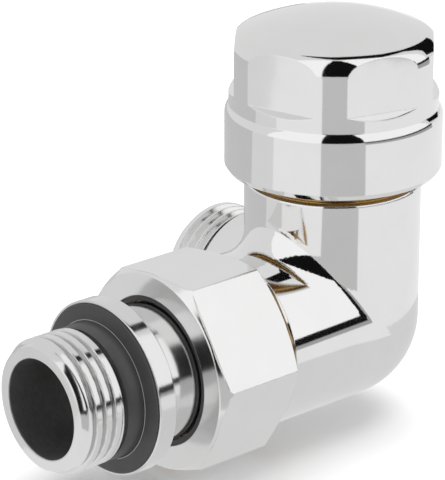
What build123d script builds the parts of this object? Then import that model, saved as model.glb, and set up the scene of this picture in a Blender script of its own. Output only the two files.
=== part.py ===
"""Corner radiator valve with a thermostatic insert: one STEP file per piece.

Frame: +Z up along the valve axis, origin at the centre of the pipe port's end face.
The pipe port points to -X and the radiator tail points to -Y.  The three axes cross at
(PORT_LEN, 0, 0).  Profiles are written as (radius, distance from the crossing) pairs.
"""
import os
from math import cos, radians, sin

from build123d import *

os.makedirs("parts", exist_ok=True)

# ---------------------------------------------------------------- driving dimensions, mm
PORT_LEN = 28.7          # crossing to the end of the pipe port
TAIL_END = 58.7          # crossing to the end of the radiator tail
BODY_R = 13.9            # valve body: barrel, elbow and neck
BODY_TOP = 22.7          # top face of the barrel
PORT_BORE = 7.5
SADDLE_R = 4.5           # blend where the upright barrel meets the tail's barrel
COLLAR_R = 11.1          # plain collar behind the port's thread

G12_CREST, G12_ROOT, G12_PITCH = 10.4775, 9.32, 1.814    # G 1/2 thread
M30_CREST, M26_CREST, M22_CREST = 15.0, 13.0, 11.0       # metric fine threads
FINE_PITCH, FINE_DEPTH = 1.5, 0.92

CAP_BOTTOM, CAP_TOP = 24.4, 49.6
CAP_RING_R, CAP_SIDE_R = 17.0, 16.36
CAP_FLAT = 15.2          # half the distance across the cap's flats
CAP_LEDGE = 37.3         # lower end of the flats
CAP_DOME_R, CAP_EDGE_R = 35.0, 3.3
CAP_TURN = -15.0         # direction of the first flat's middle

NUT_REAR, NUT_FRONT = 21.2, 37.2
NUT_CORNER_R = 16.6
NUT_FLAT = 14.37         # half the width across flats
NUT_TURN = 33.5          # direction of the first flat, from +X towards +Z

FLANGE_R = 13.57
FLANGE_REAR, FLANGE_FRONT = 43.9, 47.05
TAIL_R, TAIL_BORE = 10.7, 7.7

STROKE = 2.8             # pin travel, open to closed
SEAT_TOP = 1.6           # top of the seat rim
PIN_R, SPINDLE_R = 1.5, 1.7
SLEEVE_R, SLEEVE_BORE = 7.42, 7.5
HEAD_FACE = 32.0         # face that a thermostatic head bears on
SPRING_R, WIRE_R = 3.85, 0.35
SPRING_LOW, SPRING_HIGH = 13.55, 26.15

# ---------------------------------------------------------------- planes and helpers
CROSS = Vector(PORT_LEN, 0, 0)
UP = Plane(origin=CROSS, x_dir=(1, 0, 0), z_dir=(0, -1, 0))    # local x radial, y up
OUT = Plane(origin=CROSS, x_dir=(1, 0, 0), z_dir=(0, 0, -1))   # local x radial, y along -Y
PIPE = Plane(origin=CROSS, x_dir=(0, 0, 1), z_dir=(0, -1, 0))  # local x radial, y along -X
Z_AXIS = Axis(CROSS, (0, 0, 1))
T_AXIS = Axis(CROSS, (0, -1, 0))
P_AXIS = Axis(CROSS, (-1, 0, 0))


def radial(turn):
    """Upright plane through the valve axis, turned from +X by an angle in degrees."""
    c, s = cos(radians(turn)), sin(radians(turn))
    return Plane(origin=CROSS, x_dir=(c, s, 0), z_dir=(s, -c, 0))


def turned(plane, axis, *points, mode=Mode.ADD):
    """Turn a closed (radius, distance) profile about one of the three axes."""
    with BuildSketch(plane) as sketch:
        with BuildLine():
            Polyline(*points, close=True)
        make_face()
    revolve(sketch.sketch, axis, mode=mode)


def ring(inner, outer, low, high):
    """Profile points of a plain ring."""
    return (inner, low), (outer, low), (outer, high), (inner, high)


def grooves(crest, depth, pitch, first, count, land=0.3):
    """Profile points of a row of thread grooves, crest to crest."""
    points = []
    for k in range(count):
        a = first + k * pitch
        points += [(crest, a + land / 2), (crest - depth, a + pitch * 0.45),
                   (crest - depth, a + pitch * 0.55), (crest, a + pitch - land / 2)]
    return points


def o_ring(plane, axis, mean, radius, at):
    """Round-section ring about an axis."""
    with BuildSketch(plane) as sketch:
        with Locations((mean, at)):
            Circle(radius)
    revolve(sketch.sketch, axis)


def save(part, name):
    part.label = name
    export_step(part, f"parts/{name}.step")


# ---------------------------------------------------------------- valve body
with BuildPart() as valve_body:
    with BuildSketch(UP) as barrel:
        with BuildLine():
            Polyline((0, -BODY_R), (0, BODY_TOP), (BODY_R - 0.6, BODY_TOP))
            RadiusArc((BODY_R - 0.6, BODY_TOP), (BODY_R, BODY_TOP - 0.6), 0.6)
            Line((BODY_R, BODY_TOP - 0.6), (BODY_R, 0))
            RadiusArc((BODY_R, 0), (0, -BODY_R), BODY_R)
        make_face()
    revolve(axis=Z_AXIS)
    turned(OUT, T_AXIS, (0, 0), (BODY_R, 0), (BODY_R, 20.2), (BODY_R - 0.4, 20.6), (0, 20.6))
    saddle = valve_body.edges().filter_by(GeomType.ELLIPSE)
    fillet(saddle, SADDLE_R)
    before = valve_body.edges()
    turned(PIPE, P_AXIS, (0, 0), (COLLAR_R, 0), (COLLAR_R, 20.0), (COLLAR_R - 0.3, 20.3), (0, 20.3))
    joint_edges = [e for e in valve_body.edges() if e not in before
                   and e.geom_type == GeomType.BSPLINE and e.center().X > 8.7]
    fillet(joint_edges, 1.5)
    # union thread on the neck
    turned(OUT, T_AXIS, (0, 20.0), (12.0, 20.0), (12.0, 22.6), (M26_CREST, 23.0),
           *grooves(M26_CREST, FINE_DEPTH, FINE_PITCH, 23.2, 4),
           (M26_CREST, 29.8), (12.3, 30.4), (0, 30.4))
    # pipe thread on the port
    turned(PIPE, P_AXIS, (0, 20.0), (9.3, 20.0), (9.3, 21.0), (G12_CREST, 21.2),
           *grooves(G12_CREST, G12_CREST - G12_ROOT, G12_PITCH, 21.3, 3, 0.35),
           (G12_CREST, 27.5), (9.4, PORT_LEN), (0, PORT_LEN))
    # waterways: port, lower chamber, seat, upper chamber, outlet
    turned(PIPE, P_AXIS, (0, 14.0), (PORT_BORE, 14.0), (PORT_BORE, 26.6), (8.6, PORT_LEN),
           (8.6, PORT_LEN + 1), (0, PORT_LEN + 1), mode=Mode.SUBTRACT)
    turned(UP, Z_AXIS, *ring(0, 7.0, -9.6, -1.3), mode=Mode.SUBTRACT)
    turned(UP, Z_AXIS, (0, -2), (4.2, -2), (4.2, SEAT_TOP), (5.0, SEAT_TOP), (5.0, 0.8), (9.0, 0.8),
           (9.0, 9.0), (10.4, 9.0), (10.4, 13.0), (M22_CREST + 0.05, 13.4),
           (M22_CREST + 0.05, BODY_TOP + 1), (0, BODY_TOP + 1), mode=Mode.SUBTRACT)
    turned(OUT, T_AXIS, (0, 13.0), (6.5, 13.0), (6.5, 24.5), (9.6, 24.5), (9.6, 29.9), (9.9, 30.4),
           (9.9, 31), (0, 31), mode=Mode.SUBTRACT)
    with Locations(Location(CROSS + Vector(-5, 0, -5.4), (0, -90, 0))):
        Cylinder(4.0, 11, align=(Align.CENTER, Align.CENTER, Align.MIN), mode=Mode.SUBTRACT)
    with Locations(Location(CROSS + Vector(0, -7, 5.2), (90, 0, 0))):
        Cylinder(4.0, 8, align=(Align.CENTER, Align.CENTER, Align.MIN), mode=Mode.SUBTRACT)
save(valve_body.part, "valve_body")

# ---------------------------------------------------------------- insert
with BuildPart() as insert_housing:
    turned(UP, Z_AXIS, (SLEEVE_BORE, 9.5), (10.3, 9.5), (10.3, 10.5), (8.95, 10.5), (8.95, 12.5),
           (10.3, 12.5), (10.3, 13.2), (M22_CREST, 13.9),
           *grooves(M22_CREST, FINE_DEPTH, FINE_PITCH, 14.1, 4),
           (M22_CREST, 20.8), (10.2, 21.4), (10.2, 22.75), (12.6, 22.75), (12.6, 24.9),
           (14.1, 25.0), (M30_CREST, 25.7),
           *grooves(M30_CREST, FINE_DEPTH, FINE_PITCH, 25.8, 3),
           (M30_CREST, 31.1), (14.1, HEAD_FACE), (11.0, HEAD_FACE), (11.0, 35.7), (10.7, 36.0),
           (SLEEVE_BORE, 36.0))
save(insert_housing.part, "insert_housing")

with BuildPart() as insert_o_ring:
    o_ring(UP, Z_AXIS, 9.66, 0.69, 11.5)
save(insert_o_ring.part, "insert_o_ring")

with BuildPart() as presetting_sleeve:
    turned(UP, Z_AXIS, (5.6, 1.3), (SLEEVE_R, 1.3), (SLEEVE_R, 8.5), (6.9, 8.5), (6.9, 9.3),
           (SLEEVE_R, 9.3), (SLEEVE_R, 18.0), (6.3, 18.0), (6.3, 20.0), (SLEEVE_R, 20.0),
           (SLEEVE_R, 36.3), (9.2, 36.3), (9.2, 38.4), (8.8, 38.8), (5.0, 38.8), (5.0, 30.5),
           (4.7, 30.5), (4.7, 13.5), (1.78, 13.5), (1.78, 11.5), (5.6, 11.5))
    with Locations(Location(CROSS + Vector(0, -6.5, 0))):
        with Locations((0, 0, 3.4)):
            Box(3.0, 4.0, 2.4, mode=Mode.SUBTRACT)
        with Locations((0, 0, 6.0)):
            Box(6.0, 4.0, 3.2, mode=Mode.SUBTRACT)
    with Locations(Location(CROSS + Vector(0, 0, 38.2))):
        with PolarLocations(9.2, 8, 15):
            Box(2.0, 1.8, 2.0, mode=Mode.SUBTRACT)
save(presetting_sleeve.part, "presetting_sleeve")

with BuildPart() as sleeve_circlip:
    turned(UP, Z_AXIS, *ring(6.93, 8.3, 8.6, 9.2))
    with Locations(CROSS + Vector(0, 7.6, 8.9)):
        Box(4.0, 4.0, 2.0, mode=Mode.SUBTRACT)
save(sleeve_circlip.part, "sleeve_circlip")

with BuildPart() as sleeve_o_ring:
    o_ring(UP, Z_AXIS, 6.88, 0.55, 19.0)
save(sleeve_o_ring.part, "sleeve_o_ring")

with BuildPart() as pin_guide:
    turned(UP, Z_AXIS, *ring(1.78, 4.95, 30.55, 32.2))
save(pin_guide.part, "pin_guide")

with BuildPart() as gland_o_ring:
    o_ring(UP, Z_AXIS, 2.36, 0.79, 33.15)
save(gland_o_ring.part, "gland_o_ring")

with BuildPart() as gland_nut:
    turned(UP, Z_AXIS, (3.2, 32.3), (4.9, 32.3), (4.9, 38.85), (PIN_R + 0.07, 38.85),
           (PIN_R + 0.07, 34.0), (3.2, 34.0))
    with BuildSketch(Plane(origin=CROSS + Vector(0, 0, 38.85))):
        RegularPolygon(6.35, 6)
        Circle(PIN_R + 0.07, mode=Mode.SUBTRACT)
    extrude(amount=3.0)
    chamfer(gland_nut.faces().sort_by(Axis.Z)[-1].outer_wire().edges(), 0.4)
save(gland_nut.part, "gland_nut")

# ---------------------------------------------------------------- pin, spindle and disc
with BuildPart() as push_pin:
    turned(UP, Z_AXIS, (0, 28.0), (PIN_R, 28.0), (PIN_R, 45.9), (PIN_R - 0.4, 46.3), (0, 46.3))
save(push_pin.part, "push_pin")

with BuildPart() as valve_spindle:
    turned(UP, Z_AXIS, (0, 2.7), (0.8, 2.7), (1.0, 2.9), (1.0, 8.15), (SPINDLE_R, 8.15),
           (SPINDLE_R, 27.45), (2.6, 27.45), (2.6, 27.95), (0, 27.95))
save(valve_spindle.part, "valve_spindle")

with BuildPart() as spring_seat:
    turned(UP, Z_AXIS, (1.74, 25.2), (2.9, 25.2), (2.9, 26.2), (4.4, 26.2), (4.4, 27.4), (1.74, 27.4))
save(spring_seat.part, "spring_seat")

with BuildPart() as return_spring:
    rise = SPRING_HIGH - SPRING_LOW - 2 * WIRE_R
    with BuildLine() as coil:
        Helix(pitch=rise / 6.5, height=rise, radius=SPRING_R,
              center=CROSS + Vector(0, 0, SPRING_LOW + WIRE_R))
    with BuildSketch(Plane(origin=coil.line @ 0, z_dir=coil.line % 0)):
        Circle(WIRE_R)
    sweep(path=coil.line, is_frenet=True)
save(return_spring.part, "return_spring")

with BuildPart() as disc_holder:
    turned(UP, Z_AXIS, (1.04, 4.1), (1.8, 4.1), (1.8, 6.3), (5.2, 6.3), (5.2, 7.8), (4.9, 8.1),
           (1.04, 8.1))
save(disc_holder.part, "disc_holder")

with BuildPart() as valve_disc_seal:
    turned(UP, Z_AXIS, *ring(1.84, 5.1, SEAT_TOP + STROKE + 0.1, 6.26))
save(valve_disc_seal.part, "valve_disc_seal")

with BuildPart() as disc_clip:
    turned(UP, Z_AXIS, *ring(1.04, 3.2, 3.2, 4.05))
save(disc_clip.part, "disc_clip")

# ---------------------------------------------------------------- screw cap
with BuildPart() as cap_shell:
    dome_drop = CAP_DOME_R - (CAP_DOME_R ** 2 - CAP_SIDE_R ** 2) ** 0.5
    with BuildSketch(radial(CAP_TURN - 30)) as wall:    # seam on a strip, clear of the flats
        with BuildLine():
            Polyline((0, CAP_TOP), (0, 48.0), (6.0, 47.6), (10.6, 46.2), (13.4, 43.0), (13.4, 33.2),
                     (15.15, 33.2), (15.15, 25.0), (15.7, CAP_BOTTOM), (16.45, CAP_BOTTOM),
                     (CAP_RING_R, 25.2), (CAP_RING_R, 33.3))
            RadiusArc((CAP_RING_R, 33.3), (CAP_SIDE_R, 34.85), -2.2)
            Line((CAP_SIDE_R, 34.85), (CAP_SIDE_R, CAP_TOP - dome_drop))
            RadiusArc((CAP_SIDE_R, CAP_TOP - dome_drop), (0, CAP_TOP), -CAP_DOME_R)
        make_face()
        rim = wall.vertices().sort_by_distance((CAP_SIDE_R, CAP_TOP - dome_drop, 0))[0]
        fillet(rim, CAP_EDGE_R)
    revolve(axis=Z_AXIS)
    for k in range(6):
        with BuildSketch(radial(CAP_TURN + 60 * k)):
            with BuildLine():
                Polyline((CAP_FLAT, CAP_LEDGE), (CAP_FLAT + 2, CAP_LEDGE - 1.2),
                         (CAP_FLAT + 2, CAP_TOP), (CAP_FLAT, CAP_TOP), close=True)
            make_face()
        extrude(amount=9, both=True, mode=Mode.SUBTRACT)
save(cap_shell.part, "cap_shell")

with BuildPart() as cap_gasket:
    turned(UP, Z_AXIS, *ring(12.2, 14.9, HEAD_FACE + 0.2, 33.0))
save(cap_gasket.part, "cap_gasket")

# ---------------------------------------------------------------- union nut
with BuildPart() as union_nut:
    turned(OUT, T_AXIS, (13.75, NUT_REAR), (14.0, NUT_REAR), (NUT_CORNER_R, NUT_REAR + 1.35),
           (NUT_CORNER_R, 35.3), (15.45, 37.05), (15.3, NUT_FRONT), (11.9, NUT_FRONT),
           (11.8, 37.1), (11.8, 36.2), (11.0, 36.2), (11.0, 34.9), (12.2, 34.9), (12.2, 32.6),
           (13.15, 32.6), (13.15, NUT_REAR + 0.6))
    for k in range(6):
        turn = radians(NUT_TURN + 60 * k)
        with BuildSketch(Plane(origin=CROSS, x_dir=(cos(turn), 0, sin(turn)),
                               z_dir=(sin(turn), 0, -cos(turn)))):
            with BuildLine():
                Polyline((NUT_FLAT, NUT_REAR - 1), (NUT_FLAT + 4, NUT_REAR - 1),
                         (NUT_FLAT + 4, NUT_FRONT - 0.4), (NUT_FLAT + 1, NUT_FRONT - 0.4),
                         (NUT_FLAT, NUT_FRONT - 1.4), close=True)
            make_face()
        extrude(amount=9, both=True, mode=Mode.SUBTRACT)
    corners = [e for e in union_nut.edges().filter_by(Axis.Y) if e.length > 8]
    fillet(corners, 0.4)
save(union_nut.part, "union_nut")

with BuildPart() as nut_ring:
    turned(OUT, T_AXIS, *ring(11.0, 11.76, 36.22, 36.95))
save(nut_ring.part, "nut_ring")

# ---------------------------------------------------------------- radiator tail
with BuildPart() as tail_piece:
    turned(OUT, T_AXIS, (6.3, 25.0), (9.0, 25.0), (9.3, 25.4), (9.3, 26.6), (8.1, 26.6),
           (8.1, 28.8), (9.3, 28.8), (9.3, 30.9), (TAIL_R, 30.9), (TAIL_R, 33.35), (10.0, 33.35),
           (10.0, 34.65), (TAIL_R, 34.65), (TAIL_R, FLANGE_REAR), (FLANGE_R - 0.2, FLANGE_REAR),
           (FLANGE_R, FLANGE_REAR + 0.2), (FLANGE_R, FLANGE_FRONT - 0.15),
           (FLANGE_R - 0.15, FLANGE_FRONT), (13.2, FLANGE_FRONT), (13.2, 45.4), (9.3, 45.4),
           (9.3, 51.0), (G12_CREST - 0.1, 51.4), (G12_CREST, 51.5),
           *grooves(G12_CREST, G12_CREST - G12_ROOT, G12_PITCH, 51.69, 3, 0.35),
           (G12_CREST, 57.35), (9.7, 58.4), (9.4, TAIL_END), (TAIL_BORE + 0.25, TAIL_END),
           (TAIL_BORE, TAIL_END - 0.25), (TAIL_BORE, 36.6), (6.3, 36.0))
save(tail_piece.part, "tail_piece")

with BuildPart() as tail_support_washer:
    turned(OUT, T_AXIS, (10.7, 45.45), (13.13, 45.45), (13.13, 47.1), (12.95, 47.2), (10.7, 47.7))
save(tail_support_washer.part, "tail_support_washer")

with BuildPart() as tail_sealing_ring:
    with BuildSketch(OUT) as lip:
        with BuildLine():
            Polyline((10.1, 50.3), (9.35, 50.3), (9.35, 45.45), (10.2, 45.45), (10.62, 47.74))
            ThreePointArc((10.62, 47.74), (10.52, 49.25), (10.1, 50.3))
        make_face()
    revolve(axis=T_AXIS)
save(tail_sealing_ring.part, "tail_sealing_ring")

with BuildPart() as tail_snap_ring:
    turned(OUT, T_AXIS, *ring(10.05, 11.9, 33.42, 34.58))
    with Locations(CROSS + Vector(0, -34, -11)):
        Box(3.0, 3.0, 3.5, mode=Mode.SUBTRACT)
save(tail_snap_ring.part, "tail_snap_ring")

with BuildPart() as union_o_ring:
    o_ring(OUT, T_AXIS, 8.82, 0.69, 27.7)
save(union_o_ring.part, "union_o_ring")
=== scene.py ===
from math import cos, pi, radians, sin, sqrt

import bpy
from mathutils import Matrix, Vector


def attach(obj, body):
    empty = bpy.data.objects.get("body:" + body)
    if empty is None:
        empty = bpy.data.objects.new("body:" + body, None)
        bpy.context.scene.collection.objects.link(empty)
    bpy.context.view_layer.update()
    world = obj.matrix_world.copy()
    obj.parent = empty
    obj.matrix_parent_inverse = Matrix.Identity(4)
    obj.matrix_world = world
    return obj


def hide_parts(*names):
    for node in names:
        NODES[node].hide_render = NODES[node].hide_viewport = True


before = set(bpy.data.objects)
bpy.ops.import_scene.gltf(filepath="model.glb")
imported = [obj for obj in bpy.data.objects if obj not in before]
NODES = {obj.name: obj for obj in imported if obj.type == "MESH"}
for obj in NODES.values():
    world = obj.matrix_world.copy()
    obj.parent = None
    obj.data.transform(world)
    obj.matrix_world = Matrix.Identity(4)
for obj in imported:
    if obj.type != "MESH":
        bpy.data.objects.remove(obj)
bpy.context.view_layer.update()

MM = 0.001
CROSS = Vector((0.0287, 0.0, 0.0))      # where the valve, tail and port axes cross, m
FLOOR_Z = -0.0167                       # just below the nut's corners, however it is turned, m


# ---------------------------------------------------------------- camera
CAMERA_TURN, CAMERA_RISE = 48.475, 20.731           # degrees
CAMERA_PLACE = (0.329411, -0.289321, 0.169667)      # m
LENS, SENSOR_WIDTH = 228.305, 36.0                  # mm
NEAR_CLIP, FAR_CLIP = 0.01, 20.0                    # m

camera_data = bpy.data.cameras.new("camera")
camera_data.lens = LENS
camera_data.sensor_fit = "HORIZONTAL"
camera_data.sensor_width = SENSOR_WIDTH
camera_data.clip_start = NEAR_CLIP
camera_data.clip_end = FAR_CLIP
camera = bpy.data.objects.new("camera", camera_data)
camera.location = CAMERA_PLACE
camera.rotation_euler = (radians(90 - CAMERA_RISE), 0, radians(CAMERA_TURN))
bpy.context.scene.collection.objects.link(camera)
bpy.context.scene.camera = camera
bpy.context.scene.view_settings.view_transform = "Standard"


# ---------------------------------------------------------------- node helpers
class Tree:
    """A short way to write a shader tree: each call adds a node and links its inputs."""

    def __init__(self, tree):
        self.tree = tree
        tree.nodes.clear()

    def node(self, kind, out=0, inputs=(), **settings):
        n = self.tree.nodes.new(kind)
        for key, value in settings.items():
            setattr(n, key, value)
        for key, value in dict(inputs).items():
            if isinstance(value, bpy.types.NodeSocket):
                self.tree.links.new(value, n.inputs[key])
            else:
                n.inputs[key].default_value = value
        return n.outputs[out] if out is not None else n

    def math(self, operation, a, b=0.0, c=0.0):
        return self.node("ShaderNodeMath", inputs={0: a, 1: b, 2: c}, operation=operation)

    def step(self, value, low, high):
        """0 below low and 1 above high, smooth between."""
        return self.node("ShaderNodeMapRange", interpolation_type="SMOOTHSTEP",
                         inputs={"Value": value, "From Min": low, "From Max": high})

    def between(self, value, low, high, edge):
        return self.math("MULTIPLY", self.step(value, low - edge, low + edge),
                         self.math("SUBTRACT", 1.0, self.step(value, high - edge, high + edge)))

    def facing_y(self):
        """How far a face looks towards the rear of the tail, from -1 to 1."""
        normal = self.node("ShaderNodeTexCoord", out="Normal")
        return self.node("ShaderNodeSeparateXYZ", out=1, inputs={0: normal})

    def mix(self, factor, a, b):
        return self.node("ShaderNodeMix", out=2, inputs={0: factor, 6: a, 7: b}, data_type="RGBA")

    def ramp(self, value, low, high):
        """A value from 0 to 1 spread between low and high."""
        return self.node("ShaderNodeMapRange",
                         inputs={"Value": value, "To Min": low, "To Max": high})

    def noise(self, vector, scale, detail=3.0, rough=0.5):
        return self.node("ShaderNodeTexNoise",
                         inputs={"Vector": vector, "Scale": scale, "Detail": detail,
                                 "Roughness": rough})


def grey(value, tint=(1.0, 1.0, 1.0)):
    return (value * tint[0], value * tint[1], value * tint[2], 1.0)


def material(name):
    m = bpy.data.materials.new(name)
    m.use_nodes = True
    t = Tree(m.node_tree)
    place = t.node("ShaderNodeTexCoord", out="Object")
    return m, t, place


def axis_radius(t, place, axis):
    """Distance in metres from the valve axis (Z), the tail axis (Y) or the port axis (X)."""
    parts = t.node("ShaderNodeSeparateXYZ", out=None, inputs={0: place}).outputs
    x = t.math("SUBTRACT", parts[0], CROSS.x)
    pair = {"Z": (x, parts[1]), "Y": (x, parts[2]), "X": (parts[1], parts[2])}[axis]
    square = t.math("ADD", t.math("MULTIPLY", pair[0], pair[0]),
                    t.math("MULTIPLY", pair[1], pair[1]))
    return t.math("SQRT", square), parts


def close(t, m, **sockets):
    """Ends a material in one Principled shader with these sockets."""
    shader = t.node("ShaderNodeBsdfPrincipled", out=None, inputs={k.replace("_", " "): v
                                                                   for k, v in sockets.items()})
    t.node("ShaderNodeOutputMaterial", out=None, inputs={0: shader.outputs[0]})
    return m


def wavy(t, place, scale, height, fine_scale=900.0, fine_height=0.0, edges=False):
    """The slight unevenness of polished metal: long waves and a fine grain, as a bump."""
    long_waves = t.noise(place, scale, 2.0)
    under = {}
    if edges:
        under["Normal"] = t.node("ShaderNodeBevel", inputs={"Radius": EDGE_ROUND}, samples=4)
    normal = t.node("ShaderNodeBump",
                    inputs={"Height": long_waves, "Strength": 1.0, "Distance": height, **under})
    if fine_height:
        grain = t.noise(place, fine_scale, 4.0)
        normal = t.node("ShaderNodeBump", inputs={"Height": grain, "Strength": 1.0,
                                                  "Distance": fine_height, "Normal": normal})
    return normal


PLATE_LIGHT, PLATE_DARK = 0.83, 0.77
EDGE_ROUND = 0.0002        # worn rounding of the machined edges, m
BRASS_LIGHT, BRASS_DARK = (0.62, 0.40, 0.15, 1.0), (0.33, 0.19, 0.065, 1.0)


def plated(name, bare=None, dull_and_shade=None, smooth=(0.03, 0.085), turned=None, shade=1.0):
    """Chrome plate. The three mask functions, called with (t, place), give where the brass shows
    (bare), where the metal inside is rougher and darkened by painted shade, and where a cut surface
    is rougher (turned)."""
    m, t, place = material(name)
    cloud = t.noise(place, 140.0, 4.0, 0.6)
    plate = t.mix(cloud, grey(PLATE_DARK * shade, (1.0, 0.998, 0.995)), grey(PLATE_LIGHT * shade))
    rough = t.ramp(t.noise(place, 420.0, 5.0, 0.65), *smooth)
    if turned:
        mask = turned(t, place)
        rough = t.math("ADD", rough, t.math("MULTIPLY", mask, 0.10))
    colour = plate
    if bare:
        mask = bare(t, place)
        rings = t.noise(t.node("ShaderNodeVectorMath", inputs={0: place, 1: (260, 2600, 260)},
                               operation="MULTIPLY"), 1.0, 3.0)
        colour = t.mix(mask, colour, t.mix(rings, BRASS_DARK, BRASS_LIGHT))
        rough = t.math("ADD", rough, t.math("MULTIPLY", mask, 0.2))
    # Inside the bore: real drawn streaks in greys far darker than the plate, as painted shade in
    # the recess, and a rougher finish.
    if dull_and_shade:
        mask = dull_and_shade(t, place)
        streaks = t.noise(t.node("ShaderNodeVectorMath", inputs={0: place, 1: (900, 5200, 900)},
                                 operation="MULTIPLY"), 1.0, 5.0, 0.7)
        colour = t.mix(mask, colour, t.mix(streaks, grey(0.26), grey(0.78)))
        rough = t.math("ADD", rough, t.math("MULTIPLY", mask, 0.28))
    return close(t, m, Base_Color=colour, Metallic=1.0, Roughness=rough,
                 Normal=wavy(t, place, 90.0, 0.000015, 1500.0, 0.0000006, edges=True))


def brass(name):
    m, t, place = material(name)
    rings = t.noise(t.node("ShaderNodeVectorMath", inputs={0: place, 1: (220, 220, 3200)},
                           operation="MULTIPLY"), 1.0, 3.0)
    colour = t.mix(rings, BRASS_DARK, BRASS_LIGHT)
    rough = t.ramp(t.noise(place, 600.0, 4.0), 0.2, 0.38)
    return close(t, m, Base_Color=colour, Metallic=1.0, Roughness=rough,
                 Normal=wavy(t, place, 300.0, 0.00001, 2200.0, 0.000003))


def rubber(name, painted_highlight_radius=None):
    """Black seal rubber, with a thin painted highlight: a light grey ring round the tail axis at
    the given radius, m.
    """
    m, t, place = material(name)
    cloud = t.noise(place, 380.0, 5.0, 0.6)
    colour = t.mix(cloud, grey(0.026), grey(0.052, (1.0, 1.0, 1.02)))
    rough = t.ramp(t.noise(place, 1100.0, 4.0), 0.36, 0.5)
    if painted_highlight_radius:
        radius, _ = axis_radius(t, place, "Y")
        # Painted highlight: a thin light grey ring on the black rubber, standing in for a glint at
        # the seal's edge.
        edge = t.between(radius, painted_highlight_radius - 0.00004, painted_highlight_radius + 0.00006, 0.00003)
        colour = t.mix(edge, colour, grey(0.42))
    return close(t, m, Base_Color=colour, Roughness=rough,
                 Normal=wavy(t, place, 700.0, 0.00001, 4200.0, 0.000005))


def steel(name):
    m, t, place = material(name)
    drawn = t.noise(t.node("ShaderNodeVectorMath", inputs={0: place, 1: (2400, 2400, 300)},
                           operation="MULTIPLY"), 1.0, 4.0)
    colour = t.mix(drawn, grey(0.42), grey(0.6, (1.0, 1.0, 1.01)))
    rough = t.ramp(drawn, 0.2, 0.34)
    return close(t, m, Base_Color=colour, Metallic=1.0, Roughness=rough,
                 Normal=wavy(t, place, 900.0, 0.000004, 3600.0, 0.000002))


def polymer(name):
    m, t, place = material(name)
    cloud = t.noise(place, 260.0, 4.0)
    colour = t.mix(cloud, grey(0.5, (1.0, 0.99, 0.95)), grey(0.62, (1.0, 0.99, 0.96)))
    rough = t.ramp(t.noise(place, 1500.0, 4.0), 0.42, 0.58)
    return close(t, m, Base_Color=colour, Roughness=rough,
                 Normal=wavy(t, place, 800.0, 0.000008, 3800.0, 0.000004))


# ---------------------------------------------------------------- where each finish lies
def nut_bare(t, place):
    """The nut's rear face, rear chamfer and bore were machined after plating."""
    radius, parts = axis_radius(t, place, "Y")
    inside = t.math("SUBTRACT", 1.0, t.step(radius, 0.01330, 0.01345))
    behind = t.math("SUBTRACT", 1.0, t.step(t.math("MULTIPLY", parts[1], -1.0), 0.0360, 0.0361))
    facing = t.facing_y()
    rear = t.math("MULTIPLY", t.step(facing, 0.4, 0.6),
                  t.math("SUBTRACT", 1.0, t.step(radius, 0.0150, 0.0152)))
    return t.math("MAXIMUM", rear, t.math("MULTIPLY", inside, behind))


def inward(t, place):
    """1 on the faces that look towards the valve axis."""
    parts = t.node("ShaderNodeSeparateXYZ", out=None, inputs={0: place}).outputs
    facing = t.node("ShaderNodeSeparateXYZ", out=None,
                    inputs={0: t.node("ShaderNodeTexCoord", out="Normal")}).outputs
    out = t.math("ADD", t.math("MULTIPLY", t.math("SUBTRACT", parts[0], CROSS.x), facing[0]),
                 t.math("MULTIPLY", parts[1], facing[1]))
    return t.math("LESS_THAN", out, -0.001)


def cap_bare(t, place):
    """The inside of the cap isn't plated above its mouth."""
    _, parts = axis_radius(t, place, "Z")
    return t.math("MULTIPLY", inward(t, place), t.step(parts[2], 0.0258, 0.0262))


def tail_bore_dull_and_shade(t, place):
    """The tail's bore isn't polished: it is rougher, has drawn streaks, and its greys are darkened
    as painted shade in the recess.
    """
    radius, _ = axis_radius(t, place, "Y")
    return t.math("SUBTRACT", 1.0, t.step(radius, 0.00775, 0.0079))


def body_bare(t, place):
    """Bare brass inside the mouth of the pipe port."""
    radius, parts = axis_radius(t, place, "X")
    return t.math("MULTIPLY", t.math("SUBTRACT", 1.0, t.step(radius, 0.0078, 0.0080)),
                  t.math("SUBTRACT", 1.0, t.step(parts[0], 0.0145, 0.0150)))


def nut_turned(t, _):
    """The nut's front cone was turned, so its finish is rougher than the flats'."""
    return t.step(t.math("MULTIPLY", t.facing_y(), -1.0), 0.2, 0.3)


def port_turned(t, place):
    """The pipe port's thread is cut, so its finish is rougher than the forging's behind it."""
    parts = t.node("ShaderNodeSeparateXYZ", out=None, inputs={0: place}).outputs
    return t.math("SUBTRACT", 1.0, t.step(parts[0], 0.0101, 0.0103))


BRASS, RUBBER = brass("turned_brass"), rubber("black_seal")
STEEL, POLYMER = steel("ground_steel"), polymer("moulded_polymer")
FINISH = {
    "valve_body": plated("chrome_body", bare=body_bare, turned=port_turned),
    "cap_shell": plated("chrome_cap", bare=cap_bare),
    "union_nut": plated("chrome_nut", bare=nut_bare, turned=nut_turned),
    "tail_piece": plated("chrome_tail", dull_and_shade=tail_bore_dull_and_shade, smooth=(0.07, 0.17), shade=0.92),
    "insert_housing": BRASS, "gland_nut": BRASS, "spring_seat": BRASS, "disc_holder": BRASS,
    "disc_clip": BRASS, "push_pin": STEEL, "valve_spindle": STEEL, "return_spring": STEEL,
    "sleeve_circlip": STEEL, "tail_snap_ring": STEEL, "presetting_sleeve": POLYMER,
    "pin_guide": POLYMER, "tail_support_washer": rubber("washer_seal", painted_highlight_radius=0.01074),
}
for name, node in NODES.items():
    finish = FINISH.get(name, RUBBER)
    for slot in node.material_slots:
        slot.material = finish


# ---------------------------------------------------------------- the tail, with a helical thread
G12_CREST, G12_ROOT, G12_PITCH = 10.4775, 9.32, 1.814
THREAD_FROM, THREAD_TO = 51.35, 57.75


def ease(value):
    value = min(max(value, 0.0), 1.0)
    return value * value * (3 - 2 * value)


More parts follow.
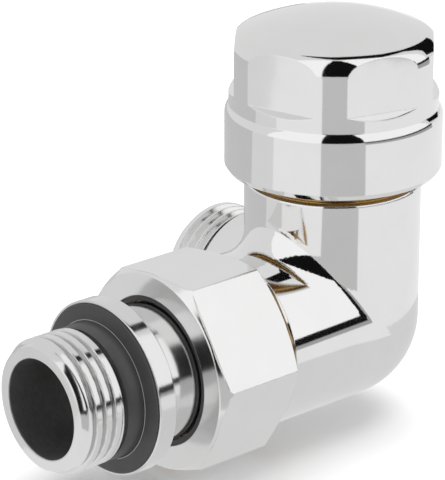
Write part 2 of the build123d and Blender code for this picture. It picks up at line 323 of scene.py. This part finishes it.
def thread_radius(along, turn):
    """Radius of the thread, which runs out at its rear and is chamfered at its front.
    This helix is left-hand. G 1/2 is a right-hand thread, which would take the turn negative."""
    phase = ((along - THREAD_FROM) / G12_PITCH + turn / (2 * pi)) % 1.0
    flank = ease((0.5 - abs(phase - 0.5)) / 0.25)
    crest = G12_CREST - (G12_CREST - 9.95) * ease((along - 57.0) / (THREAD_TO - 57.0))
    return crest - (crest - G12_ROOT) * ease((along - THREAD_FROM) / 1.1) * (1 - flank)


def supported(points, near=0.1):
    """Adds a point near both ends of each long run, to keep smooth shading at the edges."""
    out = []
    for (r0, s0), (r1, s1) in zip(points, points[1:]):
        out.append((r0, s0))
        run = sqrt((r1 - r0) ** 2 + (s1 - s0) ** 2)
        if run > 4 * near:
            for share in (near / run, 1 - near / run):
                out.append((r0 + (r1 - r0) * share, s0 + (s1 - s0) * share))
    return out + [points[-1]]


def lathe_tail(name, before, after, around=240, step=0.07):
    """Turns (radius, station) points about the tail axis, the thread between before and after."""
    rows = [lambda turn, p=p: p for p in supported(before)]
    count = int((THREAD_TO - THREAD_FROM) / step)
    for k in range(count + 1):
        along = THREAD_FROM + (THREAD_TO - THREAD_FROM) * k / count
        rows.append(lambda turn, a=along: (thread_radius(a, turn), a))
    rows += [lambda turn, p=p: p for p in supported(after)]
    verts = []
    for row in rows:
        for i in range(around):
            turn = 2 * pi * i / around
            radius, along = row(turn)
            verts.append((CROSS.x + radius * cos(turn) * MM, -along * MM,
                          radius * sin(turn) * MM))
    n = len(rows)
    faces = [(j * around + i, j * around + (i + 1) % around,
              ((j + 1) % n) * around + (i + 1) % around, ((j + 1) % n) * around + i)
             for j in range(n) for i in range(around)]
    mesh = bpy.data.meshes.new(name)
    mesh.from_pydata(verts, [], faces)
    mesh.shade_smooth()
    mesh.set_sharp_from_angle(angle=radians(28))
    o = bpy.data.objects.new(name, mesh)
    bpy.context.scene.collection.objects.link(o)
    return o


tail = lathe_tail(
    "threaded_tail",
    [(6.3, 25.0), (9.0, 25.0), (9.3, 25.4), (9.3, 26.6), (8.1, 26.6), (8.1, 28.8), (9.3, 28.8),
     (9.3, 30.9), (10.7, 30.9), (10.7, 33.35), (10.0, 33.35), (10.0, 34.65), (10.7, 34.65),
     (10.7, 43.9), (13.37, 43.9), (13.51, 43.95), (13.57, 44.1), (13.57, 46.9), (13.53, 47.01),
     (13.42, 47.05), (13.2, 47.05), (13.2, 45.4), (9.3, 45.4), (9.3, 51.1)],
    [(9.62, 58.4), (9.52, 58.6), (9.35, 58.7), (7.95, 58.7), (7.78, 58.64), (7.7, 58.45),
     (7.7, 36.6), (6.3, 36.0)])
tail.data.materials.append(FINISH["tail_piece"])
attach(tail, "tail")
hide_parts("tail_piece")


# ---------------------------------------------------------------- floor, light and reflection cards
def emitter(name, value):
    m = bpy.data.materials.new(name)
    m.use_nodes = True
    t = Tree(m.node_tree)
    glow = t.node("ShaderNodeEmission", inputs={"Color": grey(value), "Strength": 1.0})
    t.node("ShaderNodeOutputMaterial", out=None, inputs={0: glow})
    return m


TOWARDS = Vector((sin(radians(CAMERA_TURN)), -cos(radians(CAMERA_TURN)), 0.0))
RIGHT = Vector((cos(radians(CAMERA_TURN)), sin(radians(CAMERA_TURN)), 0.0))


def place_at(turn, rise, distance):
    """A point seen from the axes' crossing. turn is measured from the camera towards its right."""
    flat = TOWARDS * cos(radians(turn)) + RIGHT * sin(radians(turn))
    return CROSS + (flat * cos(radians(rise)) + Vector((0, 0, sin(radians(rise))))) * distance


def hidden_stage(name, verts, faces, value):
    """A studio card that shows in reflections only."""
    mesh = bpy.data.meshes.new(name)
    mesh.from_pydata(verts, [], faces)
    mesh.materials.append(emitter(name, value))
    o = bpy.data.objects.new(name, mesh)
    bpy.context.scene.collection.objects.link(o)
    o.visible_camera = o.visible_diffuse = o.visible_shadow = False
    return o


def card(name, turns, rises, distance, value, steps=24):
    """A curved card, part of a dome round the object, seen in reflections only."""
    rows = [[place_at(turns[0] + (turns[1] - turns[0]) * i / steps,
                      rises[0] + (rises[1] - rises[0]) * j / steps, distance)
             for i in range(steps + 1)] for j in range(steps + 1)]
    verts = [v for row in rows for v in row]
    faces = [(j * (steps + 1) + i, j * (steps + 1) + i + 1, (j + 1) * (steps + 1) + i + 1,
              (j + 1) * (steps + 1) + i) for j in range(steps) for i in range(steps)]
    return hidden_stage(name, verts, faces, value)


def floor_card(name, turns, reach, value, lift, steps=48):
    """A flat card on the floor in front, out of the camera's view."""
    verts, faces = [], []
    for i in range(steps + 1):
        turn = turns[0] + (turns[1] - turns[0]) * i / steps
        flat = TOWARDS * cos(radians(turn)) + RIGHT * sin(radians(turn))
        for r in reach:
            p = CROSS + flat * r
            verts.append((p.x, p.y, FLOOR_Z + lift))
    faces = [(2 * i, 2 * i + 1, 2 * i + 3, 2 * i + 2) for i in range(steps)]
    return hidden_stage(name, verts, faces, value)


def band(name, edges, distance, value):
    """A dark strip between two edges, as directions (towards the camera, to its right, up)."""
    verts = [CROSS + (TOWARDS * c + RIGHT * r + Vector((0, 0, z))).normalized() * distance
             for pair in edges for c, r, z in pair]
    faces = [(2 * i, 2 * i + 1, 2 * i + 3, 2 * i + 2) for i in range(len(edges) - 1)]
    return hidden_stage(name, verts, faces, value)


FLOOR_HALF = 3.0           # m
BLACK = 0.006
FLOOR_REACH = 1.2          # how far the floor cards go out, m
OVERHEAD = 84              # upper edge of the upright cards, degrees


def build_floor():
    m, t, place = material("pale_floor")
    cloud = t.noise(place, 6.0, 3.0)
    close(t, m, Base_Color=t.mix(cloud, grey(0.90), grey(0.93)), Roughness=0.9)
    mesh = bpy.data.meshes.new("floor")
    corners = [(x * FLOOR_HALF, y * FLOOR_HALF, FLOOR_Z)
               for x, y in ((-1, -1), (1, -1), (1, 1), (-1, 1))]
    mesh.from_pydata(corners, [], [(0, 1, 2, 3)])
    mesh.materials.append(m)
    floor = bpy.data.objects.new("floor", mesh)
    bpy.context.scene.collection.objects.link(floor)


def build_world():
    world = bpy.data.worlds.new("studio")
    world.use_nodes = True
    t = Tree(world.node_tree)
    background = t.node("ShaderNodeBackground", inputs={"Color": grey(0.82), "Strength": 1.0})
    t.node("ShaderNodeOutputWorld", out=None, inputs={0: background})
    bpy.context.scene.world = world


def lamp(name, turn, rise, distance, size, power):
    data = bpy.data.lights.new(name, "AREA")
    data.shape, data.size, data.energy = "SQUARE", size, power
    o = bpy.data.objects.new(name, data)
    o.location = place_at(turn, rise, distance)
    o.rotation_euler = (CROSS - o.location).to_track_quat("-Z", "Y").to_euler()
    bpy.context.scene.collection.objects.link(o)
    o.visible_glossy = False


build_floor()
build_world()
lamp("top_light", 160, 80, 1.2, 1.2, 14.0)
card("softbox_left", (-72, -14), (0, OVERHEAD), 0.9, 1.08)
card("softbox_right", (29, 112), (0, OVERHEAD), 0.9, 1.08)
card("camera_opening", (-14, 29), (0, OVERHEAD), 0.88, BLACK)
card("horizon_right", (29, 118), (-1, 6), 0.86, BLACK)
band("lid_gap", [((-0.296, -0.233, 0.926), (-0.27, -0.23, 0.93)),
                 ((-0.23, 0.0, 0.972), (0.0, 0.0, 1.0)),
                 ((-0.373, 0.325, 0.869), (-0.16, 0.42, 0.89)),
                 ((-0.521, 0.414, 0.746), (-0.44, 0.49, 0.753)),
                 ((-0.686, 0.432, 0.585), (-0.431, 0.873, 0.228)),
                 ((-0.83, 0.386, 0.398), (-0.7, 0.71, 0.05))], 0.85, BLACK)
floor_card("floor_front", (-64, 180), (0.0, FLOOR_REACH), 0.93, 0.0001)
floor_card("floor_side", (-92, -64), (0.0, FLOOR_REACH), 0.78, 0.0001)
floor_card("floor_back", (-180, -92), (0.0, FLOOR_REACH), 0.62, 0.0001)
floor_card("table_edge", (-14, 30), (0.06, FLOOR_REACH), 0.60, 0.0003)
floor_card("table_right", (30, 118), (0.22, FLOOR_REACH), 0.40, 0.0002)
floor_card("floor_shaded", (-180, 180), (0.0, 0.055), 0.76, 0.0002)
